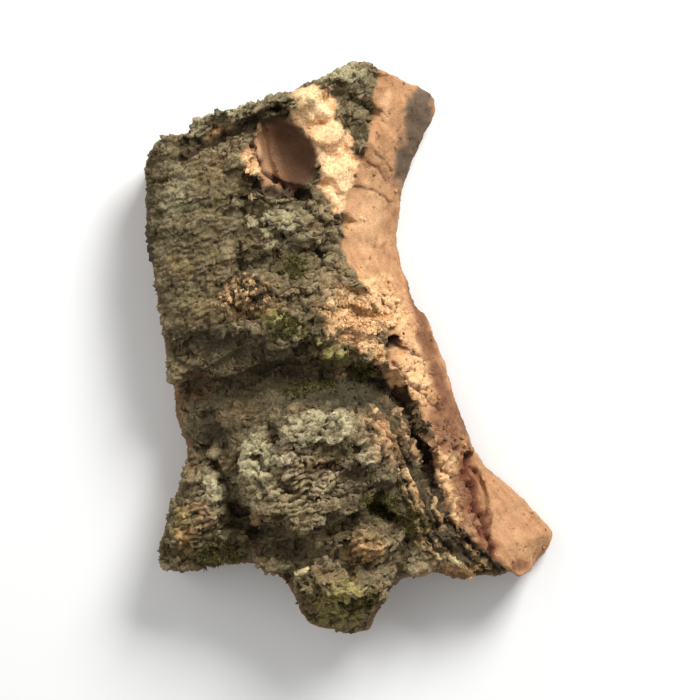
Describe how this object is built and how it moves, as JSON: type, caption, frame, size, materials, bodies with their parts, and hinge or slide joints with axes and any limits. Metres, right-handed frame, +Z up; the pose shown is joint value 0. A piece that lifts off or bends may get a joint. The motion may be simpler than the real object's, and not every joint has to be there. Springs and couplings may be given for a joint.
{
  "type": "tree bark piece",
  "caption": "Broken curved plate of virgin cork oak bark with a ridged, fissured outer face, a shallow arched inner face and a slanting fresh cut along its right side.",
  "frame": {"origin": "on the ground under the middle of the bounding box", "axes": "+Z up, out of the rough outer face; +Y along the branch that the bark grew round, towards the end with the scoop; +X towards the slanting fresh cut"},
  "size_m": [0.0842, 0.1168, 0.0317],
  "materials": {
    "bark": "rough, dry outer cork bark, matt, with orange-brown fresh cork on the cut side"
  },
  "bodies": {
    "root": {"bark_piece": "bark"}
  },
  "joints": []
}
